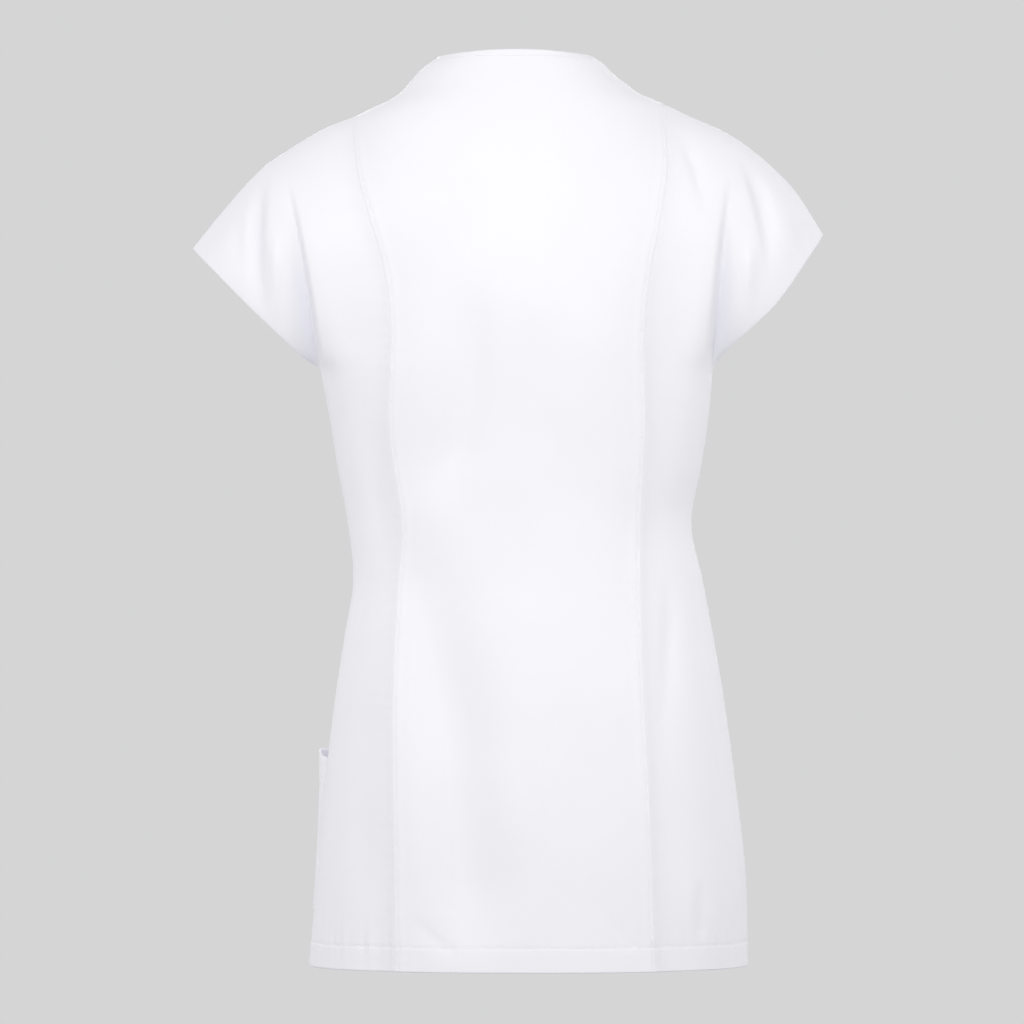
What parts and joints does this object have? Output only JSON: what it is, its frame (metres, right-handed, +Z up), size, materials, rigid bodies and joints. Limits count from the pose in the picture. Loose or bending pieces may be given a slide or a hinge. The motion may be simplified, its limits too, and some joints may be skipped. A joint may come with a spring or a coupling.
{
  "type": "work blouse",
  "caption": "Hip-length work blouse with short grown-on cap sleeves, a low funnel collar, princess seams, a stud front and a hip pocket, filled out as if worn with nobody in it.",
  "frame": {"origin": "in the middle of the neck at shoulder height, where the blouse hangs from a wearer's shoulders", "axes": "+Z up the garment, -Y out of its front, +X towards the wearer's left"},
  "size_m": [0.5267, 0.2497, 0.7601],
  "materials": {
    "white_twill": "smooth white work twill, slightly lustrous",
    "stud_enamel": "white enamelled stud cap, satin"
  },
  "bodies": {
    "root": {"back_centre": "white_twill", "back_side_left": "white_twill", "back_side_right": "white_twill", "front_side_left": "white_twill", "front_side_right": "white_twill", "front_centre_left": "white_twill", "front_centre_right": "white_twill", "pocket_left": "white_twill", "stud_1": "stud_enamel", "stud_2": "stud_enamel", "stud_3": "stud_enamel", "stud_4": "stud_enamel", "stud_5": "stud_enamel", "stud_6": "stud_enamel", "stud_7": "stud_enamel", "stud_8": "stud_enamel"}
  },
  "joints": []
}
